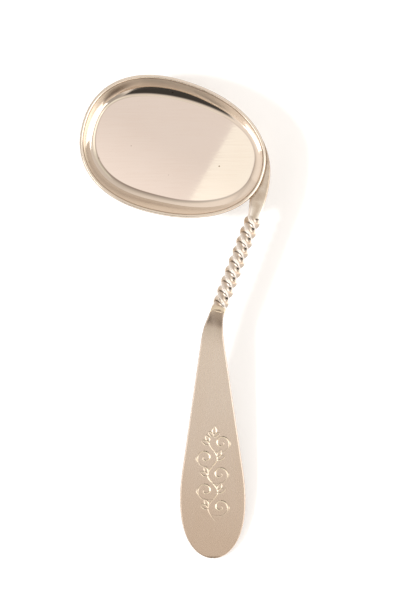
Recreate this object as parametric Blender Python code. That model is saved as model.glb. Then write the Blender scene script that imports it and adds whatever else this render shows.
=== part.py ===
"""Silver cream ladle: an oval, flat-bottomed bowl held at one end by a twisted stem, which is
soldered at its other end to a flat, tapering handle blade.

Metres, +Z up. The origin is the middle of the bowl's flat underside. The handle runs towards
-Y, and the ladle rests on the underside of the bowl and on the tip of the blade.
"""

import math

import bmesh
import bpy
from mathutils import Vector

MM = 0.001

# Bowl: one raised sheet, an oval with one end broader. Length and width are over the outside of
# the lip, the height is from the table to the top of the rim wire, and the wall leans outwards.
BOWL_LENGTH = 61.6 * MM
BOWL_WIDTH = 44.2 * MM
BOWL_HEIGHT = 14.0 * MM
BOWL_TURN = math.radians(-15.7)
OVAL_POWER = 2.2
BROAD_END = 0.08
SHEET = 0.9 * MM
FOOT_RADIUS = 3.2 * MM
LEAN_AT_BROAD_END = 1.7 * MM
LEAN_AT_NARROW_END = 0.8 * MM
LEAN_AT_SIDES = 3.4 * MM

# Rim wire: half-round, flat side down on the lip.
WIRE_WIDTH = 1.3 * MM
WIRE_HEIGHT = 0.9 * MM

# Solder joints: the gap between two joined faces, and the film of solder that lies in it.
SOLDER_GAP = 0.3 * MM
SOLDER_FILM = 0.2 * MM
SOLDER_MARGIN = 0.2 * MM

# Strap: the end of the stem, drawn out to a thin tongue along the outside of the bowl's wall.
STRAP_TIP_ANGLE = math.radians(29.0)
STRAP_ROOT_ANGLE = math.radians(-18.5)
STRAP_DROP = 0.4 * MM
STRAP_TIP_WIDTH = 0.3 * MM
STRAP_TIP_HEIGHT = 1.8 * MM
STRAP_EDGE = 0.45 * MM
ROOT_HEIGHT = 4.2 * MM
ROOT_LENGTH = 5.4 * MM

# Stem: a square bar twisted to the left, by whole quarter turns so that both ends lie flat. Its
# axis leans from the blade's, and is offset outwards from where the strap leaves the wall.
STEM_LEAN = math.radians(21.0)
STEM_OFFSET = 3.35 * MM
BAR_SIDE = 4.0 * MM
BAR_EDGE = 0.35 * MM
STEM_LENGTH = 32.0 * MM
TWIST_QUARTERS = 9
COLLAR_LENGTH = 0.6 * MM
SECTION_BLEND = 5.0 * MM

# Joint of stem and blade: a scarf that slopes away under the blade.
JOINT_WIDTH = 4.4 * MM
JOINT_HEIGHT = 3.0 * MM
SCARF_LENGTH = 3.0 * MM

# Blade: straight sides that spread from the joint to a rounded end.
BLADE_LENGTH = 78.6 * MM
BLADE_THICKNESS = 1.3 * MM
BLADE_TAPER = math.radians(8.2)
BLADE_END = 30.0 * MM
BLADE_EDGE = 0.45 * MM
NECK_LENGTH = 7.0 * MM
BEND_LENGTH = 6.0 * MM

# How finely the round shapes are divided.
OVAL_SIDES = 72
FOOT_STEPS = 5
WIRE_STEPS = 6
CORNER_STEPS = 2
STRAP_STATIONS = 22
ROOT_STATIONS = 5
STATIONS_PER_QUARTER = 6
BEND_STATIONS = 8
TAPER_STATIONS = 8
END_STATIONS = 10
EDGE_STEPS = 3

# Heights and directions that the sizes above settle.
LIP_HEIGHT = BOWL_HEIGHT - WIRE_HEIGHT - SOLDER_GAP
STRAP_TOP = LIP_HEIGHT - STRAP_DROP
STEM_HEIGHT = STRAP_TOP - ROOT_HEIGHT / 2
STEM_WAY = Vector((-math.sin(STEM_LEAN), -math.cos(STEM_LEAN), 0))
STEM_SIDE = Vector((math.cos(STEM_LEAN), -math.sin(STEM_LEAN), 0))
UP = Vector((0, 0, 1))
FILM_CLEARANCE = (SOLDER_GAP - SOLDER_FILM) / 2


def clear_scene():
    for old in list(bpy.data.objects):
        bpy.data.objects.remove(old)


def silver(name, colour, roughness):
    """A metal of that linear colour."""
    metal = bpy.data.materials.new(name)
    metal.use_nodes = True
    shader = metal.node_tree.nodes["Principled BSDF"]
    shader.inputs["Base Color"].default_value = (*colour, 1)
    shader.inputs["Metallic"].default_value = 1
    shader.inputs["Roughness"].default_value = roughness
    return metal


def add_object(name, mesh_maker, metal):
    """A named object from a bmesh, shaded smooth except at its sharp edges."""
    mesh = bpy.data.meshes.new(name)
    bmesh.ops.recalc_face_normals(mesh_maker, faces=mesh_maker.faces)
    mesh_maker.to_mesh(mesh)
    mesh_maker.free()
    mesh.shade_smooth()
    mesh.set_sharp_from_angle(angle=math.radians(40))
    mesh.materials.append(metal)
    piece = bpy.data.objects.new(name, mesh)
    bpy.context.scene.collection.objects.link(piece)
    return piece


def join_rings(mesh_maker, rings, closed=False):
    """Quads between each ring of points and the next; closed joins the last ring to the first."""
    made = [[mesh_maker.verts.new(point) for point in ring] for ring in rings]
    pairs = list(zip(made, made[1:]))
    if closed:
        pairs.append((made[-1], made[0]))
    for lower, upper in pairs:
        for i in range(len(lower)):
            j = (i + 1) % len(lower)
            mesh_maker.faces.new((lower[i], lower[j], upper[j], upper[i]))
    return made


def loft(name, rings, metal):
    """A solid through a row of rings, capped at both ends."""
    mesh_maker = bmesh.new()
    made = join_rings(mesh_maker, rings)
    mesh_maker.faces.new(made[0])
    mesh_maker.faces.new(made[-1])
    return add_object(name, mesh_maker, metal)


def ease(share):
    """0 to 1 with a level start and end."""
    share = min(max(share, 0), 1)
    return share * share * (3 - 2 * share)


def mix(start, end, share):
    return start + (end - start) * share


def oval_point(angle):
    """A point of the lip's outer outline. Angle 0 is the narrow end, which carries the strap."""
    half_length, half_width = BOWL_LENGTH / 2, BOWL_WIDTH / 2
    along, across = math.cos(angle), math.sin(angle)
    reach = abs(along / half_length) ** OVAL_POWER + abs(across / half_width) ** OVAL_POWER
    radius = reach ** (-1 / OVAL_POWER)
    x = radius * along
    y = radius * across * (1 - BROAD_END * x / half_length)
    turn_cos, turn_sin = math.cos(BOWL_TURN), math.sin(BOWL_TURN)
    return Vector((x * turn_cos - y * turn_sin, x * turn_sin + y * turn_cos, 0))


def oval_normal(angle):
    """The outline's outward normal there."""
    step = math.radians(0.1)
    tangent = oval_point(angle + step) - oval_point(angle - step)
    return Vector((tangent.y, -tangent.x, 0)).normalized()


def wall_lean(angle):
    """How far the wall leans out between the table and the lip."""
    at_end = mix(LEAN_AT_BROAD_END, LEAN_AT_NARROW_END, 0.5 + math.cos(angle) / 2)
    return mix(at_end, LEAN_AT_SIDES, math.sin(angle) ** 2)


def wall_slope(angle):
    """The wall's angle from upright."""
    return math.atan2(wall_lean(angle), LIP_HEIGHT)


def wall_point(angle, height, outset=0):
    """A point on the outside of the bowl's wall, or that far out from it."""
    inset = wall_lean(angle) * (1 - height / LIP_HEIGHT)
    return oval_point(angle) + oval_normal(angle) * (outset - inset) + UP * height


def oval_angles():
    return [2 * math.pi * i / OVAL_SIDES for i in range(OVAL_SIDES)]


def foot_point(angle, share, depth=0):
    """A point on the round between floor and wall: share 0 on the floor, 1 on the wall.

    Depth 0 is the outside of the sheet, and SHEET its inside.
    """
    turn = math.pi / 2 - wall_slope(angle)
    reach = FOOT_RADIUS * math.tan(turn / 2)
    radius = FOOT_RADIUS - depth
    along = radius * math.sin(turn * share) - reach
    height = FOOT_RADIUS - radius * math.cos(turn * share)
    return wall_point(angle, 0) + oval_normal(angle) * along + UP * height


def make_bowl(metal):
    """From the middle of the underside out and up to the lip, then down the inside to the floor."""
    shares = [i / FOOT_STEPS for i in range(FOOT_STEPS + 1)]
    angles = oval_angles()
    outside = [[foot_point(a, share) for a in angles] for share in shares]
    inside = [[foot_point(a, share, SHEET) for a in angles] for share in reversed(shares)]
    outer_lip = [wall_point(a, LIP_HEIGHT) for a in angles]
    inner_lip = [wall_point(a, LIP_HEIGHT, -SHEET / math.cos(wall_slope(a))) for a in angles]
    return loft("bowl", outside + [outer_lip, inner_lip] + inside, metal)


def sweep_lip(name, profile, metal):
    """A ring along the middle of the lip. The profile is (outset, height) points."""
    middle = -SHEET / 2
    rings = []
    for angle in oval_angles():
        normal = oval_normal(angle)
        foot = oval_point(angle) + normal * middle
        rings.append([foot + normal * outset + UP * height for outset, height in profile])
    mesh_maker = bmesh.new()
    join_rings(mesh_maker, rings, closed=True)
    return add_object(name, mesh_maker, metal)


def make_rim_wire(metal):
    seat = LIP_HEIGHT + SOLDER_GAP
    profile = []
    for i in range(WIRE_STEPS + 1):
        angle = math.pi * i / WIRE_STEPS
        profile.append((WIRE_WIDTH / 2 * math.cos(angle), seat + WIRE_HEIGHT * math.sin(angle)))
    return sweep_lip("rim_wire", profile, metal)


def make_rim_solder(metal):
    low = LIP_HEIGHT + FILM_CLEARANCE
    high = low + SOLDER_FILM
    half = (SHEET - SOLDER_MARGIN) / 2
    return sweep_lip("rim_solder", [(half, low), (half, high), (-half, high), (-half, low)], metal)


def rounded_section(width, height, radius):
    """A rectangle about the origin with round corners, from the lower right one upwards."""
    radius = min(radius, 0.45 * width, 0.45 * height)
    points = []
    for corner, (right, top) in enumerate(((1, -1), (1, 1), (-1, 1), (-1, -1))):
        for i in range(CORNER_STEPS + 1):
            angle = math.pi / 2 * (corner - 1 + i / CORNER_STEPS)
            x = right * (width / 2 - radius) + radius * math.cos(angle)
            y = top * (height / 2 - radius) + radius * math.sin(angle)
            points.append((x, y))
    return points


def strap_root():
    """Where the stem's inner edge leaves the bowl's wall, at the lip."""
    return wall_point(STRAP_ROOT_ANGLE, LIP_HEIGHT, SOLDER_GAP)


def stem_start():
    """The middle of the bar where it leaves the strap."""
    root = strap_root() + STEM_SIDE * STEM_OFFSET + STEM_WAY * ROOT_LENGTH
    return Vector((root.x, root.y, STEM_HEIGHT))


def stem_end():
    return stem_start() + STEM_WAY * STEM_LENGTH


def strap_outer_edge(share):
    """The strap's outer edge in plan: a smooth curve from its tip to the far side of the bar."""
    tip = wall_point(STRAP_TIP_ANGLE, LIP_HEIGHT, SOLDER_GAP + STRAP_TIP_WIDTH)
    end = stem_start() + STEM_SIDE * (BAR_SIDE / 2)
    normal = oval_normal(STRAP_TIP_ANGLE)
    tip_way = Vector((normal.y, -normal.x, 0))
    span = (end - tip).length
    first, second = tip + tip_way * (span / 3), end - STEM_WAY * (span / 2)
    back = 1 - share
    edge = tip * back**3 + first * 3 * back**2 * share + second * 3 * back * share**2 + end * share**3
    return Vector((edge.x, edge.y, 0))


def strap_inner_edge(share, height, wall_share, outset=SOLDER_GAP):
    """The strap's inner edge in plan: along the wall, then straight to the near side of the bar."""
    if share <= wall_share:
        angle = mix(STRAP_TIP_ANGLE, STRAP_ROOT_ANGLE, share / wall_share)
        edge = wall_point(angle, height, outset)
    else:
        end = stem_start() - STEM_SIDE * (BAR_SIDE / 2)
        root = wall_point(STRAP_ROOT_ANGLE, height, outset)
        edge = mix(root, end, (share - wall_share) / (1 - wall_share))
    return Vector((edge.x, edge.y, 0))


def strap_height(share, wall_share):
    """The strap's height: it grows along the wall, then draws in to the bar."""
    if share <= wall_share:
        return mix(STRAP_TIP_HEIGHT, ROOT_HEIGHT, ease(share / wall_share))
    return mix(ROOT_HEIGHT, BAR_SIDE, ease((share - wall_share) / (1 - wall_share)))


def strap_middle(share, wall_share):
    """The height of the strap's middle: its top stays level along the wall."""
    if share <= wall_share:
        return STRAP_TOP - strap_height(share, wall_share) / 2
    return STEM_HEIGHT


def strap_wall_share():
    """The share of the strap's length that lies on the wall."""
    steps = [i / STRAP_STATIONS for i in range(STRAP_STATIONS + 1)]
    points = [oval_point(mix(STRAP_TIP_ANGLE, STRAP_ROOT_ANGLE, step)) for step in steps]
    on_wall = sum((b - a).length for a, b in zip(points, points[1:]))
    return on_wall / (on_wall + ROOT_LENGTH)


def strap_shares():
    """Stations from the strap's tip to the bar, with one where it leaves the wall."""
    wall_share = strap_wall_share()
    on_wall = [wall_share * i / STRAP_STATIONS for i in range(STRAP_STATIONS + 1)]
    off_wall = [mix(wall_share, 1, i / ROOT_STATIONS) for i in range(1, ROOT_STATIONS + 1)]
    return on_wall, off_wall


def strap_ring(share):
    """The strap's section: from the wall out to its outer edge."""
    wall_share = strap_wall_share()
    height = strap_height(share, wall_share)
    outer = strap_outer_edge(share)
    width = (outer - strap_inner_edge(share, STRAP_TOP, wall_share)).length
    ring = []
    for x, y in rounded_section(width, height, STRAP_EDGE):
        level = strap_middle(share, wall_share) + y
        inner = strap_inner_edge(share, level, wall_share)
        ring.append(mix(inner, outer, x / width + 0.5) + UP * level)
    return ring


def bar_ring(distance):
    """The stem's section: a twisted square bar that spreads into the collar."""
    turn = -math.pi / 2 * TWIST_QUARTERS * distance / (STEM_LENGTH - COLLAR_LENGTH)
    spread = ease(1 - (STEM_LENGTH - distance) / SECTION_BLEND)
    end_size = (JOINT_HEIGHT, JOINT_WIDTH) if TWIST_QUARTERS % 2 else (JOINT_WIDTH, JOINT_HEIGHT)
    width, height = (mix(BAR_SIDE, end, spread) for end in end_size)
    middle = stem_start() + STEM_WAY * distance
    turned_side = STEM_SIDE * math.cos(turn) + UP * math.sin(turn)
    turned_up = UP * math.cos(turn) - STEM_SIDE * math.sin(turn)
    section = rounded_section(width, height, BAR_EDGE)
    return [middle + turned_side * x + turned_up * y for x, y in section]


def scarf_shift(y):
    """How far along the handle the sloping joint lies, at that height on the stem's axis."""
    return SCARF_LENGTH * (0.5 - y / JOINT_HEIGHT)


def joint_ring(setback):
    """The section at the sloping joint, set back from the blade's face along the stem."""
    ring = []
    for x, y in rounded_section(JOINT_WIDTH, JOINT_HEIGHT, BLADE_EDGE):
        along = scarf_shift(y) - setback
        ring.append(stem_end() + STEM_SIDE * x + UP * y + STEM_WAY * along)
    return ring


def make_stem(metal):
    """Strap, twisted bar and collar: one forged bar. The end ring is turned on by the twist."""
    on_wall, off_wall = strap_shares()
    rings = [strap_ring(share) for share in on_wall + off_wall]
    count = TWIST_QUARTERS * STATIONS_PER_QUARTER
    for i in range(1, count + 1):
        rings.append(bar_ring((STEM_LENGTH - COLLAR_LENGTH) * i / count))
    end = joint_ring(SOLDER_GAP)
    turned = (CORNER_STEPS + 1) * TWIST_QUARTERS % len(end)
    rings.append(end[-turned:] + end[:-turned])
    return loft("stem", rings, metal)


def make_strap_solder(metal):
    """A film between the strap and the bowl's wall."""
    wall_share = strap_wall_share()
    on_wall, _ = strap_shares()
    near, far = FILM_CLEARANCE, FILM_CLEARANCE + SOLDER_FILM
    rings = []
    for share in on_wall:
        half = strap_height(share, wall_share) / 2 - SOLDER_MARGIN
        high = strap_middle(share, wall_share) + half
        low = strap_middle(share, wall_share) - half
        ring = []
        for level, outset in ((low, far), (high, far), (high, near), (low, near)):
            ring.append(strap_inner_edge(share, level, wall_share, outset) + UP * level)
        rings.append(ring)
    return loft("strap_solder", rings, metal)


def make_blade_solder(metal):
    """A film in the sloping joint of stem and blade."""
    near, far = FILM_CLEARANCE + SOLDER_FILM, FILM_CLEARANCE
    return loft("blade_solder", [joint_ring(near), joint_ring(far)], metal)


def bend_corner():
    """Where the stem's axis, carried on, would meet the blade's."""
    return stem_end() + STEM_WAY * BEND_LENGTH


def blade_tip():
    """The end of the blade's axis, as high as its round lower edge needs to touch the table."""
    slope = math.atan2(STEM_HEIGHT - BLADE_THICKNESS / 2, BLADE_LENGTH)
    flat = BLADE_THICKNESS / 2 - BLADE_EDGE
    height = flat * math.cos(slope) + BLADE_EDGE * (1 - math.sin(slope))
    corner = bend_corner()
    return Vector((corner.x, corner.y - BLADE_LENGTH, height))


def blade_frame(distance):
    """Point, direction and side of the blade's axis, that far along it from the joint."""
    start, corner, tip = stem_end(), bend_corner(), blade_tip()
    slope_way = (tip - corner).normalized()
    bend_end = corner + slope_way * BEND_LENGTH
    bend_span = 2 * BEND_LENGTH
    if distance < bend_span:
        share = distance / bend_span
        point = start * (1 - share) ** 2 + corner * 2 * share * (1 - share) + bend_end * share**2
        way = mix(STEM_WAY, slope_way, share).normalized()
    else:
        point = bend_end + slope_way * (distance - bend_span)
        way = slope_way
    side = way.cross(UP).normalized() * -1
    return point, way, side


def blade_run():
    """The length of the blade's axis from the joint to the tip."""
    return BEND_LENGTH + (blade_tip() - bend_corner()).length


def blade_half_width(distance):
    """Half the blade's width: a straight taper, rounded off at the end like half an ellipse."""
    taper = JOINT_WIDTH / 2 + math.tan(BLADE_TAPER) * distance
    from_tip = blade_run() - distance
    if from_tip >= BLADE_END:
        return taper
    return taper * math.sqrt(max(1 - (1 - from_tip / BLADE_END) ** 2, 0))


def blade_thickness(distance):
    return mix(JOINT_HEIGHT, BLADE_THICKNESS, ease(distance / NECK_LENGTH))


def blade_stations():
    """Distances along the blade, closer together where its outline turns."""
    bend = 2 * BEND_LENGTH
    end = blade_run() - BLADE_END
    stations = [bend * i / BEND_STATIONS for i in range(BEND_STATIONS)]
    stations += [mix(bend, end, i / TAPER_STATIONS) for i in range(TAPER_STATIONS)]
    for i in range(END_STATIONS):
        stations.append(end + BLADE_END * math.sin(math.pi / 2 * i / END_STATIONS))
    return stations


def edge_profile():
    """The blade's round edge, from below to above.

    Each step is the inset in edge radii, the side of the flat it is on, and the rise in edge radii.
    """
    profile = []
    for i in range(2 * EDGE_STEPS):
        lower = i < EDGE_STEPS
        turn = math.pi / 2 * (i if lower else i - EDGE_STEPS) / (EDGE_STEPS - 1)
        if lower:
            profile.append((1 - math.sin(turn), -1, -math.cos(turn)))
        else:
            profile.append((1 - math.cos(turn), 1, math.sin(turn)))
    return profile


def blade_point(distance, hand, inset, level, round_share):
    """A point of the blade's edge. Hand is +1 or -1 for its two sides, and 0 at the tip."""
    radius = min(BLADE_EDGE, 0.45 * blade_thickness(distance))
    flat = blade_thickness(distance) / 2 - radius
    y = level * flat + round_share * radius
    shift = 0
    if distance < NECK_LENGTH:
        shift = scarf_shift(y) * (1 - distance / NECK_LENGTH)
    point, way, side = blade_frame(distance)
    point = point + way * shift
    lift = way.cross(side)
    if hand == 0:
        return point - way * inset * radius + lift * y
    step = 0.01 * MM
    half = blade_half_width(distance)
    spread = (half - blade_half_width(distance - step)) / step if distance > 0 else 0
    inward = (side * -hand + way * spread).normalized()
    return point + side * hand * half + inward * inset * radius + lift * y


def make_blade(metal):
    """Rings around the blade's outline from its underside up to its face, closed across."""
    mesh_maker = bmesh.new()
    stations = blade_stations()
    rings = []
    for inset, level, round_share in edge_profile():
        left = [blade_point(d, -1, inset, level, round_share) for d in stations]
        tip = [blade_point(blade_run(), 0, inset, level, round_share)]
        right = [blade_point(d, 1, inset, level, round_share) for d in reversed(stations)]
        rings.append(left + tip + right)
    made = join_rings(mesh_maker, rings)
    last = len(rings[0]) - 1
    for ring in (made[0], made[-1]):
        for i in range(len(stations) - 1):
            mesh_maker.faces.new((ring[i], ring[i + 1], ring[last - i - 1], ring[last - i]))
        i = len(stations) - 1
        mesh_maker.faces.new((ring[i], ring[i + 1], ring[i + 2]))
    return add_object("blade", mesh_maker, metal)


def build():
    clear_scene()
    make_bowl(silver("silver_bowl", (0.80, 0.74, 0.67), 0.10))
    make_rim_wire(silver("silver_rim", (0.80, 0.75, 0.69), 0.12))
    make_rim_solder(silver("solder_rim", (0.55, 0.52, 0.47), 0.35))
    make_stem(silver("silver_stem", (0.74, 0.66, 0.57), 0.16))
    make_strap_solder(silver("solder_strap", (0.55, 0.52, 0.47), 0.35))
    make_blade_solder(silver("solder_blade", (0.55, 0.52, 0.47), 0.35))
    make_blade(silver("silver_blade", (0.76, 0.69, 0.60), 0.22))


build()
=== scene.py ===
"""Silver cream ladle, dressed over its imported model.

Metres, +Z up, in the model's own frame: the bowl stands on the table around the origin, and the
handle runs towards -Y.
"""

import math

import bpy
from mathutils import Matrix, Vector


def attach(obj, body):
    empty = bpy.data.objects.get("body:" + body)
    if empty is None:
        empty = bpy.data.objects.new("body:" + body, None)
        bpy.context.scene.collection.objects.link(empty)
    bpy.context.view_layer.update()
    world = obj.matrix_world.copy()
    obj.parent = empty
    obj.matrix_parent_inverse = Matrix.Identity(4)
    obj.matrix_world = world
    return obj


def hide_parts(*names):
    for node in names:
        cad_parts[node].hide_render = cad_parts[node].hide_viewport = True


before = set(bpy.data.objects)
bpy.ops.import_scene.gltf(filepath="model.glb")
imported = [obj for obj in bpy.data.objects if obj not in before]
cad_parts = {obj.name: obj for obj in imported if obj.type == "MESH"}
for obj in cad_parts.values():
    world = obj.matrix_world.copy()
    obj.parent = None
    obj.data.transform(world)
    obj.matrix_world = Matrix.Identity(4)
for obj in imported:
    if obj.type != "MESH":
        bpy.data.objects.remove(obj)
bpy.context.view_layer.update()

# -------------------------------------------------------------------------------------------------
# Bowl. Raised from one sheet of silver: a flat oval floor, a round foot and a wall that leans out,
# broader at its free end. Planished, then polished bright, and dulled since by years of wiping.

MM = 0.001
UP = Vector((0, 0, 1))

BOWL_LENGTH = 61.6 * MM
BOWL_WIDTH = 44.2 * MM
BOWL_TURN = math.radians(-15.7)
OVAL_POWER = 2.2
BROAD_END = 0.08
LIP_HEIGHT = 12.8 * MM
SHEET = 0.9 * MM
FOOT_RADIUS = 3.2 * MM
LEAN_AT_BROAD_END = 1.7 * MM
LEAN_AT_NARROW_END = 0.8 * MM
LEAN_AT_SIDES = 3.4 * MM

# The inside of the foot is hammered by eye: a crease under the wall, then a long bend that turns
# fastest at the floor. Three things vary round the bowl, from its narrow end and against the clock:
# the floor's edge, inwards of the plain foot's (each 15 degrees), and the sheet left at the crease
# and the bend's tilt at its full width (each 30 degrees).
FLOOR_INSETS = [inset * MM for inset in
                (-0.05, -0.5, -0.7, -0.5, -0.25, -0.1, 0.1, 0.55, 0.95, 0.95, 0.35, -0.4,
                 -0.5, -0.3, -0.1, 0.0, 0.1, 0.1, 0.0, -0.05, 0.05, 0.2, 0.2, 0.1)]
FOOT_SHEETS = [sheet * MM for sheet in
               (0.9, 0.9, 0.75, 0.3, 0.85, 1.4, 0.9, 0.9, 0.9, 0.9, 0.9, 0.9)]
BEND_TILTS = [math.radians(tilt) for tilt in (24, 27, 27, 27, 27, 27, 26, 18, 14, 14, 15, 19)]
BEND_WIDTH = 2.2 * MM
BEND_POWER = 0.45
BEND_STEP = 0.02 * MM

# Wear and painted shade: painted shade along the floor's edge and dullness of the wall, each 30
# degrees as above, then the share of each elsewhere, and a painted dark reflection on the wall with
# its place and reach in degrees.
EDGE_PAINTED_SHADE = (0.5, 0.1, 0.2, 0.3, 0.3, 0.5, 0.35, 0.75, 0.85, 0.75, 0.35, 0.1)
CREASE_PAINTED_SHADE = 0.22
LIP_PAINTED_SHADE = 0.2
WALL_PAINTED_SHADE = 0.06
WALL_DULL = (0.2, 0.35, 0.75, 0.9, 0.9, 0.5, 0.15, 0.35, 0.45, 0.45, 0.45, 0.35)
WALL_DULL_AT_FOOT = 0.85
CREASE_DULL = 0.15
OUTSIDE_DULL = 0.6
PAINTED_DARK_REFLECTION = 0.95
PAINTED_REFLECTION_ANGLE = 150
PAINTED_REFLECTION_REACH = 19

WIPE_LENGTH = 12 * MM
WIPE_SPACING = 0.5 * MM
FILM_SIZE = 15 * MM
PIT_SPACING = 7 * MM
PIT_SHIFT = (-24.7 * MM, 13.7 * MM, 0)
HAMMER_SPACING = 1.6 * MM

FOOT_STEPS = 20
FOOT_CROWDING = 1.5
WALL_STEPS = 8
BOWL_SIDES = 288
SHARP_ANGLE = math.radians(38)
BOWL_ANGLES = [2 * math.pi * i / BOWL_SIDES for i in range(BOWL_SIDES)]
FOOT_SHARES = [i / FOOT_STEPS for i in range(FOOT_STEPS + 1)]
WALL_SHARES = [i / WALL_STEPS for i in range(1, WALL_STEPS)]
FLAT_SHARES = [0.05, 0.3, 0.6, 0.9, 0.985]


def mix(start, end, share):
    """The value or point at that share of the way."""
    return start + (end - start) * share


def ease(share):
    """0 to 1 with a level start and end."""
    share = min(max(share, 0), 1)
    return share * share * (3 - 2 * share)


def smooth(a, b, c, d, share):
    """The value at that share of the way from b to c, on a smooth curve through all four."""
    square = 2 * a - 5 * b + 4 * c - d
    cubic = 3 * b - a - 3 * c + d
    return b + share * (c - a + share * (square + share * cubic)) / 2


def around(angle, values):
    """A smooth curve through values that are spaced evenly round the bowl from its narrow end."""
    place = angle / (2 * math.pi) * len(values)
    k = math.floor(place)
    return smooth(*(values[(k + i) % len(values)] for i in (-1, 0, 1, 2)), place - k)


def oval_point(angle):
    """A point of the lip's outer outline. Angle 0 is the narrow end, which carries the strap."""
    along, across = math.cos(angle), math.sin(angle)
    reach = abs(2 * along / BOWL_LENGTH) ** OVAL_POWER + abs(2 * across / BOWL_WIDTH) ** OVAL_POWER
    radius = reach ** (-1 / OVAL_POWER)
    x = radius * along
    y = radius * across * (1 - BROAD_END * 2 * x / BOWL_LENGTH)
    turn_cos, turn_sin = math.cos(BOWL_TURN), math.sin(BOWL_TURN)
    return Vector((x * turn_cos - y * turn_sin, x * turn_sin + y * turn_cos, 0))


def oval_normal(angle):
    """The outline's outward direction there."""
    step = math.radians(0.1)
    tangent = oval_point(angle + step) - oval_point(angle - step)
    return Vector((tangent.y, -tangent.x, 0)).normalized()


def wall_lean(angle):
    """How far the wall leans out between the table and the lip."""
    at_end = mix(LEAN_AT_BROAD_END, LEAN_AT_NARROW_END, 0.5 + math.cos(angle) / 2)
    return mix(at_end, LEAN_AT_SIDES, math.sin(angle) ** 2)


def wall_point(angle, height, outset=0):
    """A point on the outside of the wall, or that far out from it."""
    inset = wall_lean(angle) * (1 - height / LIP_HEIGHT)
    return oval_point(angle) + oval_normal(angle) * (outset - inset) + UP * height


def foot_point(angle, share):
    """A point on the outside of the round foot: share 0 on the floor, 1 on the wall."""
    turn = math.pi / 2 - math.atan2(wall_lean(angle), LIP_HEIGHT)
    along = FOOT_RADIUS * math.sin(turn * share) - FOOT_RADIUS * math.tan(turn / 2)
    height = FOOT_RADIUS - FOOT_RADIUS * math.cos(turn * share)
    return wall_point(angle, 0) + oval_normal(angle) * along + UP * height


def inside_profile(angle):
    """The inside from the crease to the floor, as (outset from the lip's outline, height)."""
    lean = wall_lean(angle)
    slope = math.atan2(lean, LIP_HEIGHT)
    sheet = around(angle, FOOT_SHEETS) / math.cos(slope)
    tilt = around(angle, BEND_TILTS)
    x = -lean - FOOT_RADIUS * math.tan((math.pi / 2 - slope) / 2) - around(angle, FLOOR_INSETS)
    z = SHEET
    start, bend = x, [(x, z)]
    while x < -lean * (1 - z / LIP_HEIGHT) - sheet:
        x += BEND_STEP
        z += BEND_STEP * math.tan(tilt * ((x - start) / BEND_WIDTH) ** BEND_POWER)
        bend.append((x, z))
    last = len(bend) - 1
    return [bend[round(last * (1 - share) ** FOOT_CROWDING)] for share in FOOT_SHARES]


def new_object(name, data):
    """An object in the scene, at the origin."""
    piece = bpy.data.objects.new(name, data)
    bpy.context.scene.collection.objects.link(piece)
    return piece


def loft(name, rings):
    """A mesh object through a row of rings of points, capped at both ends."""
    count = len(rings[0])
    points = [point for ring in rings for point in ring]
    faces = []
    for low in range(0, len(points) - count, count):
        high = low + count
        for i in range(count):
            j = (i + 1) % count
            faces.append((low + i, low + j, high + j, high + i))
    faces.append(tuple(reversed(range(count))))
    faces.append(tuple(range(len(points) - count, len(points))))
    mesh = bpy.data.meshes.new(name)
    mesh.from_pydata(points, [], faces)
    mesh.shade_smooth()
    mesh.set_sharp_from_angle(angle=SHARP_ANGLE)
    return new_object(name, mesh)


def bowl_rings():
    """From the middle of the underside out and up to the lip, then down inside to the floor."""
    outer_lip = [wall_point(a, LIP_HEIGHT) for a in BOWL_ANGLES]
    inner_lip = []
    for a in BOWL_ANGLES:
        slant = math.cos(math.atan2(wall_lean(a), LIP_HEIGHT))
        inner_lip.append(wall_point(a, LIP_HEIGHT, -SHEET / slant))
    outside = [[foot_point(a, share) for a in BOWL_ANGLES] for share in FOOT_SHARES]
    profiles = [inside_profile(a) for a in BOWL_ANGLES]
    inside = []
    for k in range(FOOT_STEPS + 1):
        inside.append([oval_point(a) + oval_normal(a) * profile[k][0] + UP * profile[k][1]
                       for a, profile in zip(BOWL_ANGLES, profiles)])
    wall_out = [[p.lerp(q, s) for p, q in zip(outside[-1], outer_lip)] for s in WALL_SHARES]
    wall_in = [[p.lerp(q, s) for p, q in zip(inner_lip, inside[0])] for s in WALL_SHARES]
    under, floor = outside[0], inside[-1]
    underside = [[Vector((p.x * s, p.y * s, p.z)) for p in under] for s in FLAT_SHARES]
    topside = [[Vector((p.x * s, p.y * s, p.z)) for p in floor] for s in reversed(FLAT_SHARES)]
    return underside + outside + wall_out + [outer_lip, inner_lip] + wall_in + inside + topside


def bowl_wear_and_shade():
    """The painted shade and the dullness of each of those rings."""
    outer = len(FLAT_SHARES) + len(FOOT_SHARES) + len(WALL_SHARES) + 1
    flat = [0] * len(FLAT_SHARES)
    # A painted dark reflection on the wall, darkest at its angle and fading over its reach.
    patch = [ease(1 - abs(math.degrees(a) - PAINTED_REFLECTION_ANGLE) / PAINTED_REFLECTION_REACH) for a in BOWL_ANGLES]
    edge = [around(a, EDGE_PAINTED_SHADE) for a in BOWL_ANGLES]
    painted_shade = [0] * outer + [LIP_PAINTED_SHADE]
    painted_shade += [[WALL_PAINTED_SHADE * (1 - s) + PAINTED_DARK_REFLECTION * math.sin(math.pi * s) * p for p in patch]
              for s in WALL_SHARES]
    painted_shade += [[g * mix(CREASE_PAINTED_SHADE, 1, s**2) for g in edge] for s in FOOT_SHARES]
    rubbed = [around(a, WALL_DULL) for a in BOWL_ANGLES]
    dull = [OUTSIDE_DULL] * outer
    dull += [[d * mix(1, WALL_DULL_AT_FOOT, s) for d in rubbed] for s in [0] + WALL_SHARES]
    dull += [CREASE_DULL * (1 - s) ** 2 for s in FOOT_SHARES]
    return painted_shade + flat, dull + flat


def ring_attribute(piece, name, values):
    """A value or a row of values for each ring of a lofted piece, for its material to read."""
    count = len(piece.data.vertices) // len(values)
    rows = [value if isinstance(value, list) else [value] * count for value in values]
    layer = piece.data.attributes.new(name, "FLOAT", "POINT")
    layer.data.foreach_set("value", [value for row in rows for value in row])


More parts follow.
